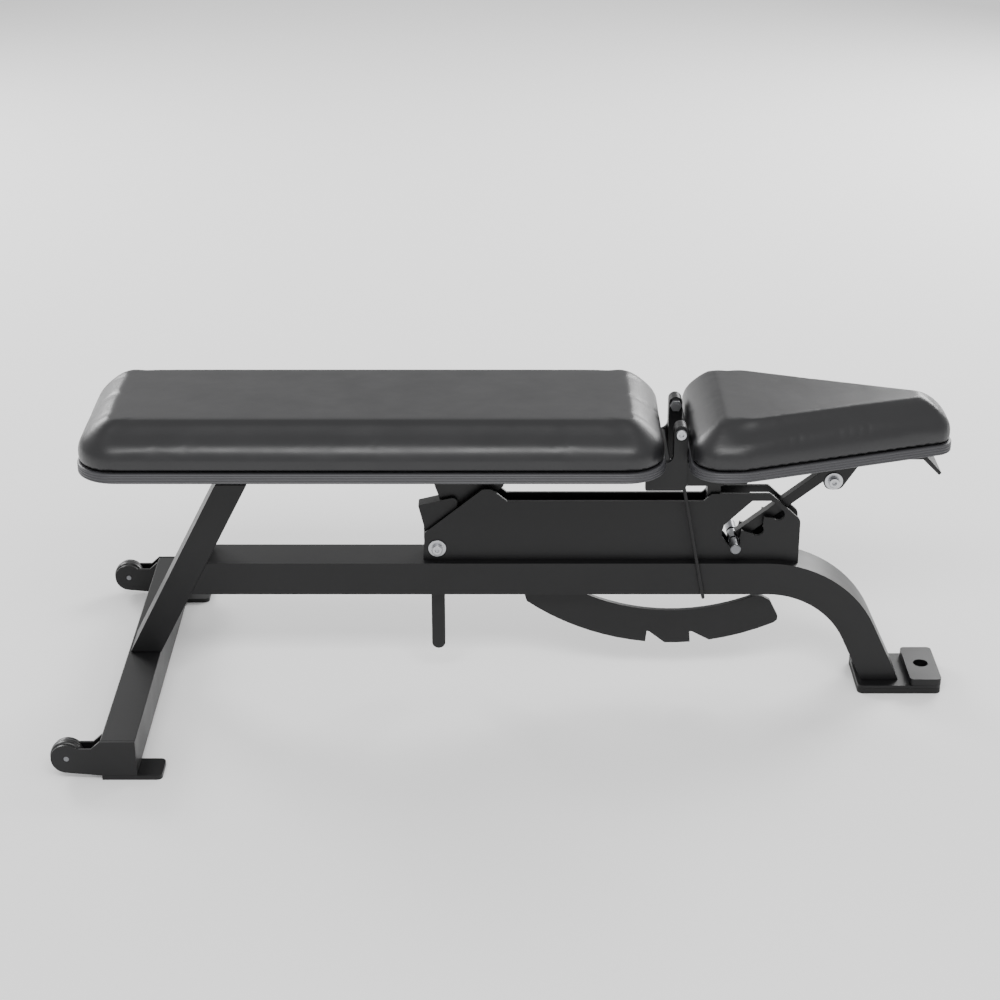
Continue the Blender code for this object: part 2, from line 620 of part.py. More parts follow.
def sector_outline():
    """The arc-shaped plate: notched outer edge, plain inner edge and a gusset under the frame."""
    top = FRAME_BOTTOM - GAP
    outer_end = math.degrees(math.acos((PIVOT[1] - top) / SECTOR_OUTER))
    outline = [from_pivot(SECTOR_OUTER, outer_end), (PIVOT[0] - 250.0, top),
               (PIVOT[0] - 259.0, top - 22.0)]
    gusset = 64.0
    steps = 26
    sweep = SECTOR_END + 4.0 - gusset
    outline += [from_pivot(SECTOR_INNER, gusset + sweep * i / steps) for i in range(steps + 1)]
    angle = SECTOR_END + 1.6
    outline += [from_pivot(SECTOR_INNER + 6.0, SECTOR_END + 1.4),
                from_pivot(SECTOR_INNER + 18.0, SECTOR_END), from_pivot(SECTOR_OUTER - 8.0, SECTOR_END),
                from_pivot(SECTOR_OUTER - 2.0, SECTOR_END + 0.5), from_pivot(SECTOR_OUTER, angle)]
    for wall in sorted(SECTOR_NOTCHES):
        ramp = wall - NOTCH_RAMP - NOTCH_FLAT
        outline += outer_edge(angle, ramp)
        outline += [from_pivot(SECTOR_OUTER - NOTCH_DEPTH, wall - NOTCH_FLAT),
                    from_pivot(SECTOR_OUTER - NOTCH_DEPTH, wall), from_pivot(SECTOR_OUTER, wall)]
        angle = wall
    return outline + outer_edge(angle, outer_end)[:-1]


def outer_edge(start, end):
    """Points along the sector's outer edge after start, up to and including end."""
    steps = max(1, round((end - start) / 3.5))
    return [from_pivot(SECTOR_OUTER, start + (end - start) * (i + 1) / steps) for i in range(steps)]


def plan_rings(outline, levels):
    """The outline at each (height, inset), shrunk towards its middle by the inset."""
    xs, ys = [p[0] for p in outline], [p[1] for p in outline]
    cx, half_x, half_y = (min(xs) + max(xs)) / 2, (max(xs) - min(xs)) / 2, max(ys)
    rings = []
    for z, inset in levels:
        sx, sy = 1.0 - inset / half_x, 1.0 - inset / half_y
        rings.append([(cx + (x - cx) * sx, y * sy, z) for x, y in outline])
    return rings


def cushion(name, outline, parent):
    """A plain closed pad with rounded shoulders."""
    shoulder, side = 46.0, 3.0
    bottom, top = CUSHION_BOTTOM, CUSHION_BOTTOM + CUSHION_HEIGHT
    levels = [(bottom, side), (bottom + 6.0, 0.0)]
    for step in range(7):
        angle = math.radians(15.0 * step)
        rise = (top - shoulder) + shoulder * math.sin(angle)
        levels.append((rise, 1.3 * shoulder * (1.0 - math.cos(angle))))
    mesh = rings_mesh(name, plan_rings(outline, levels))
    item = add_object(name, mesh, (outline[0][0], 0.0, bottom), VINYL, parent)
    smooth(item)


def back_plan():
    """Plan view of the back pad."""
    return box_outline(*BACK_BOARD, -PAD_HALF_WIDTH, PAD_HALF_WIDTH, BACK_CORNER)


def back_pad(back):
    """Back frame, sector, board and cushion."""
    left, right = BACK_FRAME
    half = HINGE_INNER + 2 * HINGE_LAYER - GAP
    cross = box_outline(right, right + CROSS_LENGTH, FRAME_BOTTOM, FRAME_TOP, 2.0)
    extrusion("back_crossbar", cross, "Y", -half, half, PAINT, back)
    bar = box_outline(-BACK_FRAME_HALF, BACK_FRAME_HALF, FRAME_BOTTOM, FRAME_TOP)
    tube = extrusion("back_frame_tube", bar, "X", left, right - GAP, PAINT, back)
    inner = BACK_FRAME_HALF - WALL
    hollow = box_outline(-inner, inner, FRAME_BOTTOM + WALL, FRAME_TOP - WALL)
    cut(tube, extrusion("back_frame_hollow", hollow, "X", left - 5.0, right + 5.0))
    extrusion("sector_plate", sector_outline(), "Y", -SECTOR_HALF, SECTOR_HALF, PAINT, back)
    extrusion("back_board", back_plan(), "Z", BOARD_BOTTOM, BOARD_BOTTOM + BOARD_THICKNESS, TRIM, back)
    cushion("back_cushion", back_plan(), back)


# ---- seat -----------------------------------------------------------------------------------

def seat_plan():
    """Plan view of the seat pad: square to the back, tapering to a narrow rounded nose."""
    left, right = SEAT_BOARD
    nose = PAD_HALF_WIDTH - 2.0 - SEAT_TAPER * (right - SEAT_TAPER_START)
    wide = PAD_HALF_WIDTH - 2.0
    return rounded([(left, -wide, 46), (SEAT_TAPER_START, -wide, 100), (right, -nose, 30),
                    (right, nose, 30), (SEAT_TAPER_START, wide, 100), (left, wide, 46)])


def seat_pad(seat):
    """Seat crossbar, bent plate, prop bracket, board and cushion."""
    left = SEAT_CROSS_LEFT
    half = HINGE_INNER + HINGE_LAYER - GAP
    cross = box_outline(left, left + SEAT_CROSS_LENGTH, FRAME_BOTTOM + 7.0, FRAME_TOP, 2.0)
    extrusion("seat_crossbar", cross, "Y", -half, half, PAINT, seat)
    bottom = FRAME_TOP - SEAT_PLATE_THICKNESS
    extrusion("seat_board", seat_plan(), "Z", BOARD_BOTTOM, BOARD_BOTTOM + BOARD_THICKNESS, TRIM, seat)
    cushion("seat_cushion", seat_plan(), seat)
    seat_plate(seat, left + SEAT_CROSS_LENGTH + GAP)
    for label, side in SIDES:
        low, high = side_range(side, BRACKET_INNER, BRACKET_THICKNESS)
        x, z = PROP_BOLT
        outline = rounded([(x - 30.0, bottom - GAP, 0), (x - 11.0, z - 14.0, 12), (x + 11.0, z - 14.0, 12),
                           (x + 42.0, bottom - GAP, 0)])
        plate = extrusion("prop_bracket_" + label, outline, "Y", low, high, PAINT, seat)
        drill(plate, x, z, PROP_BOLT_RADIUS + GAP, low - 1.0, high + 1.0)


def seat_plate(seat, start):
    """A bent plate: flat under the board, then a lip turned down to pull the seat by."""
    thick = SEAT_PLATE_THICKNESS
    lip = thick * math.sqrt(0.5)
    tip_x, tip_z = HANDLE_TIP
    knee = tip_x - (FRAME_TOP - thick - tip_z)
    outline = [(start, FRAME_TOP), (knee + thick * 0.4, FRAME_TOP),
               (knee + lip + thick * 0.4, FRAME_TOP - thick * 0.2), (tip_x + lip, tip_z + lip),
               (tip_x, tip_z), (knee, FRAME_TOP - thick), (start, FRAME_TOP - thick)]
    extrusion("seat_plate", outline, "Y", -SEAT_PLATE_HALF, SEAT_PLATE_HALF, PAINT, seat)


# ---- prop and latch -------------------------------------------------------------------------

def prop_pin(axis):
    """The cross pin at the prop's end.  It is relieved where it crosses the two channel plates, so
    that the seat can tilt past the ladder's teeth while the prop keeps its angle to the seat."""
    px, pz = PROP_PIN
    pin, edge = PROP_PIN_RADIUS, PIN_EDGE
    middle = CHANNEL_INNER - GAP
    profile = [(0.0, -middle), (pin, -middle), (pin, middle), (0.0, middle)]
    turned("prop_pin", profile, (px, 0.0, pz), STEEL, axis)
    for label, side in SIDES:
        low, high = CHANNEL_OUTER + GAP, PROP_PIN_HALF
        profile = [(0.0, low), (pin, low), (pin, high - edge), (pin - edge, high), (0.0, high)]
        turned("prop_pin_" + label, [(r, side * t) for r, t in profile], (px, 0.0, pz), STEEL, axis)


def prop(seat):
    """The seat's prop: an arm that hangs on a bolt and ends in the pin that sits in the ladder."""
    bx, bz = PROP_BOLT
    px, pz = PROP_PIN
    axis = pivot_empty("prop_axis", bx, bz)
    way = math.atan2(pz - bz, px - bx)
    across = (-math.sin(way), math.cos(way))
    eye, half = 11.0, PROP_HALF
    spread = math.degrees(math.asin(half / eye))
    heading = math.degrees(way)
    reach = math.dist(PROP_BOLT, PROP_PIN) - PROP_PIN_RADIUS - GAP
    end = (bx + reach * math.cos(way), bz + reach * math.sin(way))
    outline = arc(bx, bz, eye, heading + spread, heading + 360.0 - spread, 20)
    outline += [(end[0] - half * across[0], end[1] - half * across[1]),
                (end[0] + half * across[0], end[1] + half * across[1])]
    arm = extrusion("prop_arm", outline, "Y", -half, half, PAINT, axis)
    drill(arm, bx, bz, PROP_BOLT_RADIUS + GAP, -half - 1.0, half + 1.0)
    prop_pin(axis)
    face = BRACKET_INNER + BRACKET_THICKNESS + GAP
    for label, side in SIDES:
        bore = PROP_BOLT_RADIUS + GAP
        low, high = half + GAP, BRACKET_INNER - GAP
        profile = [(bore, low), (9.0, low), (9.0, high), (bore, high)]
        turned("prop_spacer_" + label, [(r, side * t) for r, t in profile], (bx, 0.0, bz), ZINC, seat, 24)
        washer("prop_washer_" + label, bore, (bx, side * face, bz), side, WASHER_RADIUS, seat)
    seat_face = face + WASHER_THICKNESS + GAP
    bolt("prop_bolt", PROP_BOLT_RADIUS, 8.0, 7.0, 2 * seat_face + 8.0, (bx, -seat_face, bz), -1, seat)
    nut("prop_nut", PROP_BOLT_RADIUS + GAP, 9.5, 7.0, (bx, seat_face, bz), 1, seat)


def latch():
    """The back's latch: a forked head whose tooth bears on the sector, and its hanging handle."""
    x, z = LATCH_PIVOT
    axis = pivot_empty("latch_axis", x, z)
    head = rounded([(x - 10.0, z - 13.5, 6), (x + 10.0, z - 13.5, 6), (x + 12.0, z + 10.0, 10),
                    (x + 30.0, z + 52.0, 14), (x + 31.0, z + 81.5, 7), (x + 9.4, z + 76.7, 0),
                    (x - 28.2, z + 67.4, 1), (x - 20.0, z + 34.0, 6), (x - 20.0, z + 10.0, 8)])
    fork = extrusion("latch_head", head, "Y", -LATCH_HALF, LATCH_HALF, PAINT, axis)
    reach = SECTOR_OUTER + LATCH_TOOTH_GAP
    sweep = [from_pivot(reach, 40.0 + 2.0 * step) for step in range(26)]
    throat = SECTOR_HALF + 0.8
    cut(fork, extrusion("sector_clearance", sweep + [PIVOT], "Y", -throat, throat))
    drill(fork, x, z, LATCH_BOLT_RADIUS + GAP, -LATCH_HALF - 1.0, LATCH_HALF + 1.0)
    half, end = LATCH_BAR_WIDTH / 2, LATCH_BAR_BOTTOM
    under_head = z - 13.5 - GAP
    outline = arc(x, end + half, half, 180.0, 360.0, 14)
    outline += [(x + half, under_head), (x - half, under_head)]
    extrusion("latch_bar", outline, "Y", -LATCH_BAR_HALF, LATCH_BAR_HALF, PAINT, axis)
    latch_fixings(x, z)


def latch_fixings(x, z):
    """Bolt, washers and nut of the latch's pivot."""
    bore = LATCH_BOLT_RADIUS + GAP
    face = CHANNEL_OUTER + GAP
    for label, side in SIDES:
        washer("latch_washer_" + label, bore, (x, side * face, z), side)
    outer = face + WASHER_THICKNESS + GAP
    bolt("latch_bolt", LATCH_BOLT_RADIUS, 8.0, 7.0, 2 * outer + 8.0, (x, -outer, z), -1)
    nut("latch_nut", bore, 9.5, 7.0, (x, outer, z), 1)


def build():
    """Make every piece of the bench."""
    clear_scene()
    back = pivot_empty("back_axis", *PIVOT)
    seat = pivot_empty("seat_axis", *PIVOT)
    main_tube()
    rear_strut()
    rear_stabiliser()
    wheels()
    feet()
    channel_plates()
    hinge_support()
    hinge_plates(back, seat)
    hinge_bolts()
    back_pad(back)
    seat_pad(seat)
    prop(seat)
    latch()


build()
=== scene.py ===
# %% [markdown]
# The bench is already built as a working model: tubes, plates, bolts and plain pads.
# This file gives it its looks.  The first step loads that model.

# %% Load the frame
import math

import bpy
import numpy as np
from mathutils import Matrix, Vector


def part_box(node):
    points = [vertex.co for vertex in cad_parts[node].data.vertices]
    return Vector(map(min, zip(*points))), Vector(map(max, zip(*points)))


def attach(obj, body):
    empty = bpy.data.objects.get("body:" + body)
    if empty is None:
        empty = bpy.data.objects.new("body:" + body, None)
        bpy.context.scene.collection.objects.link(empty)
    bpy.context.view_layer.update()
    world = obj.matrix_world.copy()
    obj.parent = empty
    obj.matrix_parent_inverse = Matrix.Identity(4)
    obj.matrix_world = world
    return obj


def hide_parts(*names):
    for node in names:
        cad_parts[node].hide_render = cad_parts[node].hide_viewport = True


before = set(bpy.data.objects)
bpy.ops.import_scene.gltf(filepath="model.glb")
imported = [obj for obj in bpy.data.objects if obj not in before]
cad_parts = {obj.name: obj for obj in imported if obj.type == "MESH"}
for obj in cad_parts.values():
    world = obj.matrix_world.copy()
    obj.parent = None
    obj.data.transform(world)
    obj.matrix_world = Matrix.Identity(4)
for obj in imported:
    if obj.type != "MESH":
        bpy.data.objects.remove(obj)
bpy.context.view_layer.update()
MM = 0.001

# %% [markdown]
# A long lens from about 3.2 m away keeps the verticals almost straight, as in a catalogue view.
# The camera looks down by a little under 25 degrees at a point on the bench's mid-plane.

# %% Camera
LOOK_AT = (-0.0171, 0.0, 0.30507)
DISTANCE = 3.2434
PITCH = math.radians(24.77)

lens = bpy.data.cameras.new("catalogue_camera")
lens.lens = 77.55
lens.sensor_width = 36.0
camera = bpy.data.objects.new("catalogue_camera", lens)
camera.location = (LOOK_AT[0], -DISTANCE * math.cos(PITCH), LOOK_AT[2] + DISTANCE * math.sin(PITCH))
camera.rotation_euler = (math.pi / 2 - PITCH, 0.0, 0.0)
bpy.context.scene.collection.objects.link(camera)
bpy.context.scene.camera = camera
print("camera at", [round(value, 3) for value in camera.location])

# %% [markdown]
# Colours are written as the hex values a paint shop would quote.  Those are sRGB, and a shader
# wants linear light, so one function turns them over.

# %% Colours and nodes
def linear(code):
    """sRGB hex to linear RGBA: each channel is divided by 12.92 when dark, else raised to 2.4."""
    channels = np.array([int(code[i:i + 2], 16) for i in (1, 3, 5)]) / 255.0
    low, high = channels / 12.92, ((channels + 0.055) / 1.055) ** 2.4
    return (*np.where(channels <= 0.04045, low, high).tolist(), 1.0)


def add(tree, kind, links=(), **settings):
    """Add one node.  settings are socket values by name, or the node's own properties; links
    are (socket name, output socket) pairs."""
    node = tree.nodes.new(kind)
    for name, value in settings.items():
        socket = node.inputs.get(name.replace("_", " "))
        if socket is not None:
            socket.default_value = value
        else:
            setattr(node, name, value)
    for name, source in links:
        tree.links.new(source, node.inputs[name])
    return node


def finish_material(name, colour, **settings):
    """A material with its Principled shader set: returns the material, its tree and the shader."""
    made = bpy.data.materials.new(name)
    made.use_nodes = True
    shader = made.node_tree.nodes["Principled BSDF"]
    shader.inputs["Base Color"].default_value = linear(colour)
    for socket, value in settings.items():
        shader.inputs[socket.replace("_", " ")].default_value = value
    return made, made.node_tree, shader


def cycles_per_metre(size_mm):
    """Texture scale whose features are about size_mm across."""
    return 1.0 / (size_mm * MM)

# %% [markdown]
# The frame is steel under a black polyester powder coat.  The powder melts and flows in the
# oven, and leaves a faint orange peel a few millimetres wide, a satin gloss that changes a
# little from place to place, and a thinner, greyer film along sharp edges.

# %% Powder coat
def powder_coat():
    """Satin black: slow gloss noise, orange peel as bump, dust-grey in the broad patches."""
    made, tree, shader = finish_material("powder_coated_steel", "#111112", Roughness=0.4, IOR=1.5,
                                         Specular_IOR_Level=0.32)
    place = add(tree, "ShaderNodeTexCoord").outputs["Object"]
    cloud = add(tree, "ShaderNodeTexNoise", [("Vector", place)],
                Scale=cycles_per_metre(90.0), Detail=3.0)
    gloss = add(tree, "ShaderNodeMapRange", [("Value", cloud.outputs["Fac"])],
                From_Min=0.3, From_Max=0.7, To_Min=0.36, To_Max=0.46)
    tree.links.new(gloss.outputs["Result"], shader.inputs["Roughness"])
    tint = add(tree, "ShaderNodeValToRGB", [("Fac", cloud.outputs["Fac"])])
    tint.color_ramp.elements[0].position = 0.3
    tint.color_ramp.elements[0].color = linear("#0f0f10")
    tint.color_ramp.elements[1].position = 0.75
    tint.color_ramp.elements[1].color = linear("#141415")
    tree.links.new(tint.outputs["Color"], shader.inputs["Base Color"])
    peel = add(tree, "ShaderNodeTexNoise", [("Vector", place)],
               Scale=cycles_per_metre(2.6), Detail=1.0)
    bump = add(tree, "ShaderNodeBump", [("Height", peel.outputs["Fac"])],
               Strength=0.12, Distance=0.25 * MM)
    tree.links.new(bump.outputs["Normal"], shader.inputs["Normal"])
    return made


POWDER = powder_coat()
print("made", POWDER.name)

# %% [markdown]
# The pads are covered in expanded vinyl on a knitted back.  It has a fine pebble grain, pressed
# in by a roller, and a soft sheen.  Grain of this kind is often under a millimetre; it is drawn
# at 1.8 mm and kept shallow, so that it still shows from a few steps away.

# %% Upholstery vinyl
def vinyl_cloth():
    """Charcoal black vinyl: pebble cells as bump, soft stretch ripples, uneven gloss."""
    made, tree, shader = finish_material("grained_vinyl", "#171719", Roughness=0.4, IOR=1.52,
                                         Specular_IOR_Level=0.5)
    place = add(tree, "ShaderNodeTexCoord").outputs["Object"]
    cells = add(tree, "ShaderNodeTexVoronoi", [("Vector", place)], Scale=cycles_per_metre(1.8))
    fine = add(tree, "ShaderNodeTexNoise", [("Vector", place)],
               Scale=cycles_per_metre(0.9), Detail=2.0)
    grain = add(tree, "ShaderNodeMath",
                [(0, cells.outputs["Distance"]), (1, fine.outputs["Fac"])], operation="ADD")
    pebble = add(tree, "ShaderNodeBump", [("Height", grain.outputs["Value"])],
                 Strength=0.16, Distance=0.3 * MM)
    ripple = add(tree, "ShaderNodeTexNoise", [("Vector", place)],
                 Scale=cycles_per_metre(55.0), Detail=2.0)
    slack = add(tree, "ShaderNodeBump",
                [("Height", ripple.outputs["Fac"]), ("Normal", pebble.outputs["Normal"])],
                Strength=0.25, Distance=2.5 * MM)
    tree.links.new(slack.outputs["Normal"], shader.inputs["Normal"])
    gloss = add(tree, "ShaderNodeMapRange", [("Value", ripple.outputs["Fac"])],
                From_Min=0.3, From_Max=0.7, To_Min=0.34, To_Max=0.43)
    tree.links.new(gloss.outputs["Result"], shader.inputs["Roughness"])
    return made


VINYL = vinyl_cloth()
print("made", VINYL.name)

# %% [markdown]
# Smaller finishes: the extruded PVC edging of the boards, the black backing cloth under them,
# moulded rubber, bright zinc plate on the fasteners and turned steel on the pins.

# %% Small finishes
def speckled(name, colour, size_mm, depth_mm, strength, **settings):
    """A plain finish with a noise of one size in its relief and a little in its gloss."""
    made, tree, shader = finish_material(name, colour, **settings)
    place = add(tree, "ShaderNodeTexCoord").outputs["Object"]
    noise = add(tree, "ShaderNodeTexNoise", [("Vector", place)],
                Scale=cycles_per_metre(size_mm), Detail=4.0)
    bump = add(tree, "ShaderNodeBump", [("Height", noise.outputs["Fac"])],
               Strength=strength, Distance=depth_mm * MM)
    tree.links.new(bump.outputs["Normal"], shader.inputs["Normal"])
    base = shader.inputs["Roughness"].default_value
    gloss = add(tree, "ShaderNodeMapRange", [("Value", noise.outputs["Fac"])],
                From_Min=0.3, From_Max=0.7, To_Min=base - 0.05, To_Max=base + 0.06)
    tree.links.new(gloss.outputs["Result"], shader.inputs["Roughness"])
    return made


EDGING = speckled("extruded_pvc_edging", "#363639", 3.0, 0.1, 0.1, Roughness=0.45, IOR=1.53)
BACKING = speckled("spunbond_backing_cloth", "#161617", 1.6, 0.3, 0.5, Roughness=0.85, IOR=1.5)
RUBBER = speckled("moulded_rubber", "#131313", 2.0, 0.2, 0.3, Roughness=0.7, IOR=1.52,
                  Specular_IOR_Level=0.35)
TYRE = speckled("cast_polyurethane", "#151516", 1.5, 0.1, 0.15, Roughness=0.38, IOR=1.5)
ZINC = speckled("bright_zinc_plate", "#b9babd", 0.8, 0.05, 0.2, Roughness=0.33, Metallic=1.0)
STEEL = speckled("turned_steel", "#77787b", 0.6, 0.05, 0.2, Roughness=0.3, Metallic=1.0)
print("made", len(bpy.data.materials), "materials")

# %% [markdown]
# Every CAD piece that stays gets its finish here.  Cut steel never has a razor edge: a weld
# merges the loose triangles and a small bevel breaks the edges, which is what catches a line of
# light along the tubes.

# %% Finish the steel pieces
EDGE_BREAK = {"main_tube": 1.3, "rear_strut": 1.3, "rear_stabiliser": 1.3, "front_foot_block": 1.6,
              "front_foot_pad": 1.6, "strut_bumper": 1.2, "latch_bar": 1.5, "latch_head": 0.9}
SHARP = math.radians(32.0)


def finish_for(node):
    """The material of a carried-over CAD node, from what the piece is."""
    if node.startswith("wheel_axle") or node.startswith("prop_pin"):
        return STEEL
    if any(word in node for word in ("bolt", "nut", "washer", "spacer")):
        return ZINC
    if node in ("front_foot_pad", "strut_bumper"):
        return RUBBER
    return POWDER


def break_edges(item, width_mm):
    """Merge the loose triangles, bevel what is sharper than the limit, and take the shading
    normals from the large faces, so that flats stay flat and only the narrow bevels turn."""
    weld = item.modifiers.new("merge", "WELD")
    weld.merge_threshold = 0.00002
    bevel = item.modifiers.new("edge_break", "BEVEL")
    bevel.width = width_mm * MM
    bevel.segments = 2
    bevel.limit_method = "ANGLE"
    bevel.angle_limit = SHARP
    bevel.use_clamp_overlap = True
    flat = item.modifiers.new("flat_faces", "WEIGHTED_NORMAL")
    flat.mode = "FACE_AREA"
    flat.weight = 100


REPLACED = ("back_cushion", "seat_cushion", "back_board", "seat_board", "wheel_near", "wheel_far")
for node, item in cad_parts.items():
    if node in REPLACED:
        continue
    item.data.materials.clear()
    item.data.materials.append(finish_for(node))
    item.data.shade_smooth()
    break_edges(item, EDGE_BREAK.get(node, 0.5))
print("finished", len(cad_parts) - len(REPLACED), "CAD pieces")

# %% [markdown]
# The new pieces are worked out as arrays.  A piece is a stack of rings with the same number of
# points; quads join ring to ring, and a fan closes each end at its middle.

# %% Surfaces from rings
def surface(name, rings, material, ends="fan"):
    """Mesh of a stack of rings, shape (rings, points, 3).  ends is fan, to close each end at its
    mean point, or loop, to join the last ring to the first as on a tyre.  Faces are turned
    outwards by the sign of the enclosed volume."""
    count, around = rings.shape[:2]
    rows = np.arange(count if ends == "loop" else count - 1)
    i, j = np.meshgrid(rows, np.arange(around), indexing="ij")
    nxt, jn = (i + 1) % count, (j + 1) % around
    here, ahead = i * around, nxt * around
    quads = np.stack([here + j, here + jn, ahead + jn, ahead + j], -1).reshape(-1, 4)
    points = rings.reshape(-1, 3)
    faces = quads.tolist()
    if ends == "fan":
        points = np.vstack([points, rings[0].mean(0), rings[-1].mean(0)])
        a, b = np.arange(around), (np.arange(around) + 1) % around
        last = (count - 1) * around
        low = np.stack([b, a, np.full(around, count * around)], -1)
        high = np.stack([last + a, last + b, np.full(around, count * around + 1)], -1)
        faces += low.tolist() + high.tolist()
    p, q, r = points[quads[:, 0]], points[quads[:, 1]], points[quads[:, 2]]
    s = points[quads[:, 3]]
    middle = points.mean(0)
    volume = np.einsum("ij,ij->i", p - middle, np.cross(q - middle, r - middle)).sum()
    volume += np.einsum("ij,ij->i", p - middle, np.cross(r - middle, s - middle)).sum()
    if volume < 0:
        faces = [face[::-1] for face in faces]
    mesh = bpy.data.meshes.new(name)
    mesh.from_pydata(points.tolist(), [], faces)
    mesh.materials.append(material)
    mesh.shade_smooth()
    item = bpy.data.objects.new(name, mesh)
    bpy.context.scene.collection.objects.link(item)
    return item


def smooth_curve(keys, count):
    """A curve through the key points: each span is a cubic whose end slopes are half the step
    between the neighbours of its end points."""
    keys = np.asarray(keys, float)
    padded = np.vstack([2 * keys[0] - keys[1], keys, 2 * keys[-1] - keys[-2]])
    t = np.linspace(0, len(keys) - 1, count)
    k = np.minimum(t.astype(int), len(keys) - 2)
    u = (t - k)[:, None]
    a, b, c, d = (padded[k + n] for n in range(4))
    return b + 0.5 * u * (c - a + u * (2 * a - 5 * b + 4 * c - d + u * (3 * (b - c) + d - a)))

# %% [markdown]
# Both pads share their plan with the boards under them.  A plan is a polygon with a radius at
# each corner.  Its inset version moves every side inwards along its own normal and shrinks the
# radii, which is how foam is stepped back from the edge of a board.

# %% Plans of the two pads
ARC_POINTS = 14


def plan(corners, inset=0.0, least=8.0, weights=None):
    """Outline of a rounded polygon moved in by inset.  corners are x, y, radius; each side's line
    is shifted along its inward normal, neighbours are intersected, and an arc of the left-over
    radius, never under least, turns each corner."""
    corners = np.asarray(corners, float)
    points, radii = corners[:, :2], corners[:, 2]
    weights = np.ones(len(corners)) if weights is None else np.asarray(weights)
    side = np.roll(points, -1, 0) - points
    unit = side / np.linalg.norm(side, axis=1, keepdims=True)
    normal = np.stack([-unit[:, 1], unit[:, 0]], -1)
    offset = np.einsum("ij,ij->i", normal, points) + inset * weights
    before_n, before_o = np.roll(normal, 1, 0), np.roll(offset, 1)
    det = before_n[:, 0] * normal[:, 1] - before_n[:, 1] * normal[:, 0]
    moved = np.stack([(before_o * normal[:, 1] - offset * before_n[:, 1]) / det,
                      (offset * before_n[:, 0] - before_o * normal[:, 0]) / det], -1)
    radius = np.maximum(radii - inset, np.minimum(least, radii))
    back, ahead = -np.roll(unit, 1, 0), unit
    half = 0.5 * np.arccos(np.clip(np.einsum("ij,ij->i", back, ahead), -1, 1))
    bisector = back + ahead
    bisector /= np.linalg.norm(bisector, axis=1, keepdims=True)
    centre = moved + bisector * (radius / np.sin(half))[:, None]
    start = moved + back * (radius / np.tan(half))[:, None] - centre
    turn = np.pi - 2 * half
    angle = turn[:, None] * np.linspace(0, 1, ARC_POINTS)[None]
    x = start[:, :1] * np.cos(angle) - start[:, 1:] * np.sin(angle)
    y = start[:, :1] * np.sin(angle) + start[:, 1:] * np.cos(angle)
    return (centre[:, None, :] + np.stack([x, y], -1)).reshape(-1, 2)


def rectangle(low, high, radius):
    """Corners of a rectangle, anticlockwise from the lowest."""
    return [(low[0], low[1], radius), (high[0], low[1], radius), (high[0], high[1], radius),
            (low[0], high[1], radius)]


back_low, back_high = [np.array(corner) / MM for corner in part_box("back_board")]
seat_low, seat_high = [np.array(corner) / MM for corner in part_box("seat_board")]
BACK_RADIUS = 60.0
BACK_PLAN = rectangle(back_low, back_high, BACK_RADIUS)
TAPER_START, TAPER = 330.0, 0.336
nose = seat_high[1] - TAPER * (seat_high[0] - TAPER_START)
REAR_RADIUS, SHOULDER_RADIUS, NOSE_RADIUS = 46.0, 100.0, 30.0
SEAT_PLAN = [(seat_low[0], seat_low[1], REAR_RADIUS), (TAPER_START, seat_low[1], SHOULDER_RADIUS),
             (seat_high[0], -nose, NOSE_RADIUS), (seat_high[0], nose, NOSE_RADIUS),
             (TAPER_START, seat_high[1], SHOULDER_RADIUS), (seat_low[0], seat_high[1], REAR_RADIUS)]
SEAT_WEIGHTS = (1.0, 0.82, 1.0, 0.82, 1.0, 1.0)
print("back plan", (back_high - back_low).round(1), "seat plan", (seat_high - seat_low).round(1))

# %% [markdown]
# A board is taken to be plywood in a ribbed PVC edging that is pushed on all round.  The edging is a
# profile of four round ribs carried along the plan, and the board's underside is closed by a
# black backing cloth.

# %% Boards and their ribbed edging
RIBS = 4
RIB_DEPTH = 1.1
EDGING_WIDTH = 7.0


def edging_profile(thickness, count=49):
    """Inset and height round the edging's section: |cos| ribs outside, a flat wall inside."""
    t = np.linspace(0, 1, count)
    ribs = RIB_DEPTH * (1 - np.abs(np.sin(np.pi * RIBS * t)) ** 0.7) + 1.6 * (2 * t - 1) ** 8
    outer = np.stack([ribs, thickness * t], -1)
    inner = np.array([[EDGING_WIDTH, thickness], [EDGING_WIDTH, 0.0]])
    return np.vstack([outer, inner])


def carried(corners, profile, bottom, weights=None):
    """Rings in metres: the plan at each (inset, height) of a profile, above bottom."""
    return np.stack([np.column_stack([outline, np.full(len(outline), bottom + height)]) * MM
                     for inset, height in profile
                     for outline in [plan(corners, inset, weights=weights)]])


def board(label, corners, low, high, body):
    """The ribbed edging and the board inside it, both riding on the pad's body."""
    thickness = high[2] - low[2]
    ribs = carried(corners, edging_profile(thickness), low[2])
    edging = surface(label + "_ribbed_edging", ribs, EDGING, "loop")
    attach(edging, body)
    lip = EDGING_WIDTH + 0.3
    levels = [(lip + 60.0, 0.9), (lip + 2.0, 0.9), (lip + 0.4, 1.2), (lip, 2.2), (lip, thickness - 1.0),
              (lip + 1.0, thickness - 0.4), (lip + 60.0, thickness - 0.4)]
    core = surface(label + "_covered_board", carried(corners, levels, low[2]), BACKING)
    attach(core, body)
    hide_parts(label + "_board")
    print(label, "board", round(thickness, 1), "mm thick,", RIBS, "ribs")


board("back", BACK_PLAN, back_low, back_high, "back")
board("seat", SEAT_PLAN, seat_low, seat_high, "seat")

# %% [markdown]
# The foam is moulded, not cut: its flank bulges over the board, turns in at a soft ridge, runs
# up a slightly hollow slope and meets a flat top.  The vinyl is stretched over that.  The form
# is drawn first as a profile carried round the plan.  Then the cloth is simulated: the form is
# remeshed evenly and blown up a little with no gravity, as foam pushes at its cover, and no
# point may move further than a few millimetres.

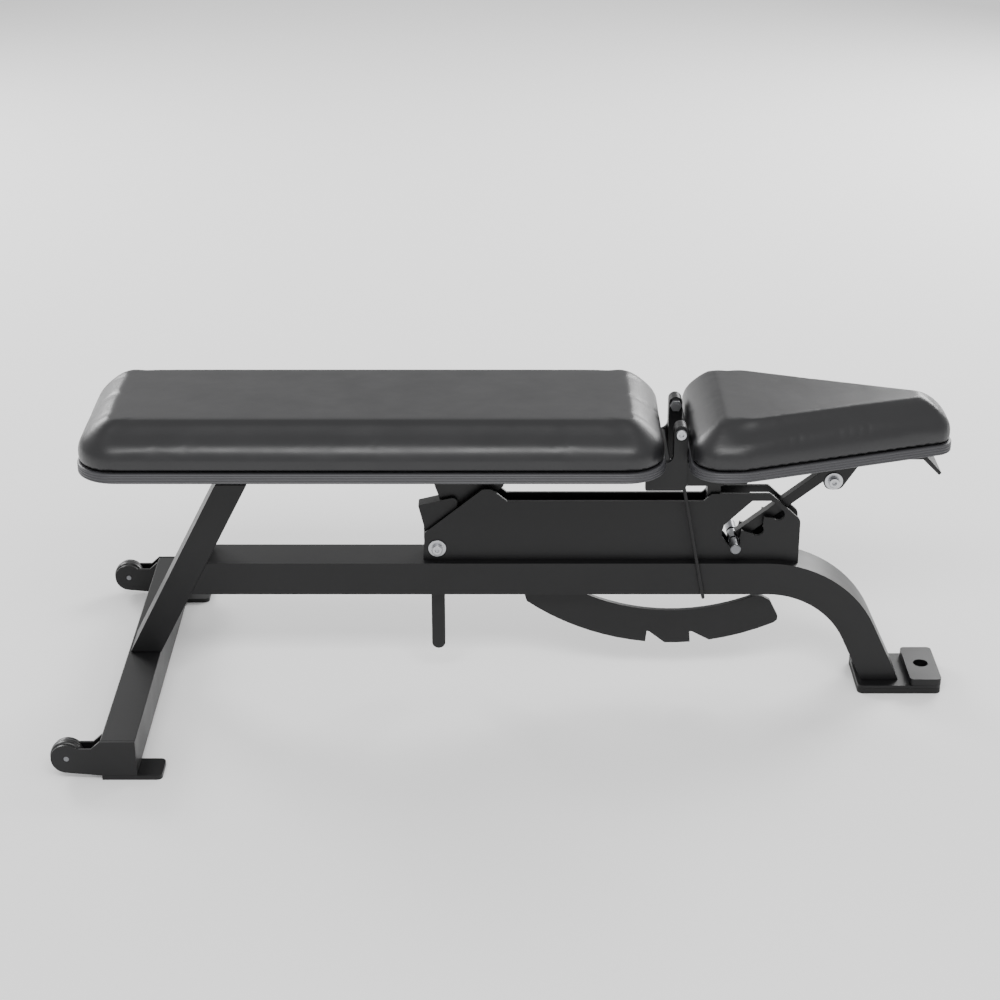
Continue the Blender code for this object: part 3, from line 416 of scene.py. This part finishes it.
# %% Cushion forms
# Millimetres in from the board's edge, and the foam's height there: at the round ends, and at
# the long sides where a crease runs under the flat top.
FOAM_INSETS = [80.0, 10.0, 3.0, 0.9, 0.2, 0.3, 2.5, 8.0, 15.0,
               22.0, 28.5, 34.0, 39.0, 44.0, 50.0, 60.0, 90.0]
ROUND_HEIGHTS = [0.0, 0.0, 0.0, 1.6, 8.0, 16.0, 25.0, 34.0, 41.5,
                 48.0, 53.3, 57.3, 60.3, 62.6, 64.3, 65.0, 65.0]
CREASED_HEIGHTS = [0.0, 0.0, 0.0, 1.6, 8.0, 16.0, 25.0, 33.5, 39.5,
                   43.4, 46.4, 50.0, 55.6, 62.2, 65.0, 65.0, 65.0]
CREASE_START = 8.0
CREASE_FADE = 42.0
VOXEL = 5.0
CLOTH_FRAMES = 20
PRESSURE = 4.0
REACH = 2.0
TIGHTEN = 1.0


def crease_share(points, low, high):
    """1 along the two long sides and 0 at the ends: a smooth step of the distance to the nearer
    end, less the distance to the nearer side so that the change runs along the corner's diagonal."""
    to_end = np.minimum(points[..., 0] - low[0], high[0] - points[..., 0])
    half = (high[1] - low[1]) / 2
    to_side = half - np.abs(points[..., 1] - (high[1] + low[1]) / 2)
    t = np.clip((to_end - to_side - CREASE_START) / CREASE_FADE, 0, 1)
    return t * t * (3 - 2 * t)


def foam_form(label, corners, body, weights=None):
    """The moulded foam: the profile, shrunk by the room that the cloth will take back."""
    low, high = [np.array(corner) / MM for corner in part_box(label + "_cushion")]
    height = high[2] - low[2]
    plain = smooth_curve(np.column_stack([FOAM_INSETS, ROUND_HEIGHTS]), 90)
    creased = smooth_curve(np.column_stack([FOAM_INSETS, CREASED_HEIGHTS]), 90)
    rings = carried(corners, np.column_stack([plain[:, 0] + TIGHTEN, 0 * plain[:, 0]]), low[2], weights)
    along = crease_share(rings / MM, low, high)
    rise = plain[:, 1:] + (creased[:, 1:] - plain[:, 1:]) * along
    rings[:, :, 2] = (low[2] + np.clip(rise, 0, None) * (height - TIGHTEN) / ROUND_HEIGHTS[-1]) * MM
    item = surface(label + "_pad", rings, VINYL)
    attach(item, body)
    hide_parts(label + "_cushion")
    return item, low[2] * MM, high[2] * MM


def apply_modifier(item, modifier):
    """Bake one modifier's result into the item's mesh."""
    bpy.context.view_layer.objects.active = item
    with bpy.context.temp_override(object=item, active_object=item, selected_objects=[item]):
        bpy.ops.object.modifier_apply(modifier=modifier.name)


def coordinates(mesh):
    """Vertex positions as an array."""
    values = np.empty(len(mesh.vertices) * 3)
    mesh.vertices.foreach_get("co", values)
    return values.reshape(-1, 3)

# %% [markdown]
# The cloth step.  Without it the pad is only a clean drawing; with it the cover rounds over
# the foam's edges and pulls tight at the corners.

# %% Stretch the vinyl
def upholster(item, floor, ceiling):
    """Remesh, blow up as cloth, cap each point's move at REACH, and keep off the board."""
    remesh = item.modifiers.new("even", "REMESH")
    remesh.mode = "VOXEL"
    remesh.voxel_size = VOXEL * MM
    apply_modifier(item, remesh)
    item.data.shade_smooth()
    rest = coordinates(item.data)
    cloth = item.modifiers.new("vinyl", "CLOTH")
    cloth.settings.quality = 4
    cloth.settings.mass = 0.5
    cloth.settings.tension_stiffness = 25.0
    cloth.settings.compression_stiffness = 25.0
    cloth.settings.bending_stiffness = 1.5
    cloth.settings.use_pressure = True
    cloth.settings.uniform_pressure_force = PRESSURE
    cloth.settings.effector_weights.gravity = 0.0
    cloth.collision_settings.use_collision = False
    for step in range(1, CLOTH_FRAMES + 1):
        bpy.context.scene.frame_set(step)
    depsgraph = bpy.context.evaluated_depsgraph_get()
    blown = coordinates(item.evaluated_get(depsgraph).data)
    item.modifiers.remove(cloth)
    bpy.context.scene.frame_set(1)
    move = blown - rest
    far = np.linalg.norm(move, axis=1, keepdims=True)
    rest = rest + move * np.minimum(1.0, REACH * MM / np.maximum(far, 1e-9))
    print(item.name, "moved up to", round(float(far.max()) / MM, 1), "mm, kept", REACH)
    rest[:, 2] = np.clip(rest[:, 2], floor, ceiling)
    item.data.vertices.foreach_set("co", rest.ravel())
    item.data.update()
    finer = item.modifiers.new("finer", "SUBSURF")
    finer.levels = finer.render_levels = 1
    apply_modifier(item, finer)
    item.data.shade_smooth()
    print(item.name, len(item.data.polygons), "faces")


for label, corners, weights in (("back", BACK_PLAN, None), ("seat", SEAT_PLAN, SEAT_WEIGHTS)):
    pad, floor, ceiling = foam_form(label, corners, label, weights)
    upholster(pad, floor, ceiling)

# %% [markdown]
# Each transport wheel is cast polyurethane on a steel bush.  Its section is turned round the
# axle: a crowned tread with a fine moulding line, rounded shoulders, a dished web and a hub.

# %% Wheels
WHEEL_TURNS = 96


def turned_ring(section, centre):
    """Rings in metres of a section (radius, y) turned about a line along Y."""
    angle = np.linspace(0, 2 * np.pi, WHEEL_TURNS, endpoint=False)[:, None]
    radius, y = section[:, 0][None], section[:, 1][None]
    x = centre[0] + radius * np.cos(angle)
    z = centre[2] + radius * np.sin(angle)
    return np.stack([x, centre[1] + y + 0 * angle, z], -1) * MM


def wheel(label):
    """One wheel in place of its plain CAD disc."""
    low, high = [np.array(corner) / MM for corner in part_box("wheel_" + label)]
    centre, rim, half = (low + high) / 2, (high[0] - low[0]) / 2, (high[1] - low[1]) / 2
    side = [(4.5, half), (8.0, half), (8.8, half - 0.8), (9.6, half - 1.8), (17.0, half - 1.8),
            (18.2, half - 0.5),
            (19.5, half - 0.1), (rim - 2.2, half - 0.3), (rim - 0.6, half - 1.8), (rim - 0.1, half - 4.0),
            (rim, 0.8), (rim - 0.5, 0.3)]
    section = np.array(side + [(radius, -y) for radius, y in reversed(side)])
    item = surface("transport_wheel_" + label, turned_ring(section, centre), TYRE, "loop")
    edge = item.modifiers.new("soft", "BEVEL")
    edge.width, edge.segments, edge.angle_limit = 0.3 * MM, 2, SHARP
    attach(item, "wheel_" + label)
    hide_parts("wheel_" + label)
    return rim


print("wheel radius", [round(wheel(label), 1) for label in ("near", "far")])

# %% [markdown]
# A plain pale floor under an even white room light.  A long softbox high in front draws the
# light line along the pads' flanks, and two lights behind, one on each side, put a sheen on the
# flat tops that fades towards the middle.

# %% Floor and lights
def area_light(name, place, aim, size, energy):
    """A soft rectangular light at place, turned to face aim."""
    data = bpy.data.lights.new(name, "AREA")
    data.shape = "RECTANGLE"
    data.size, data.size_y = size
    data.energy = energy
    item = bpy.data.objects.new(name, data)
    item.location = place
    way = np.array(aim) - np.array(place)
    item.rotation_euler = (math.atan2(math.hypot(way[0], way[1]), -way[2]), 0.0,
                           math.atan2(way[1], way[0]) - math.pi / 2)
    bpy.context.scene.collection.objects.link(item)


floor_mesh = bpy.data.meshes.new("studio_floor")
SPAN = 30.0
floor_corners = [(-SPAN, -SPAN, 0), (SPAN, -SPAN, 0), (SPAN, SPAN, 0), (-SPAN, SPAN, 0)]
floor_mesh.from_pydata(floor_corners, [], [(0, 1, 2, 3)])
paper, _, _ = finish_material("studio_paper", "#ffffff", Roughness=0.9, Specular_IOR_Level=0.1)
floor_mesh.materials.append(paper)
floor = bpy.data.objects.new("studio_floor", floor_mesh)
bpy.context.scene.collection.objects.link(floor)

area_light("front_softbox", (0.0, -3.0, 3.4), (0.0, 0.0, 0.3), (3.4, 0.9), 125.0)
area_light("back_right", (2.6, 3.4, 2.0), (0.4, 0.0, 0.3), (2.2, 1.6), 150.0)
area_light("back_left", (-3.0, 3.2, 1.9), (-0.3, 0.0, 0.4), (1.6, 1.4), 110.0)

world = bpy.data.worlds.new("studio")
bpy.context.scene.world = world
world.use_nodes = True
world.node_tree.nodes["Background"].inputs["Color"].default_value = linear("#ffffff")
world.node_tree.nodes["Background"].inputs["Strength"].default_value = 0.85
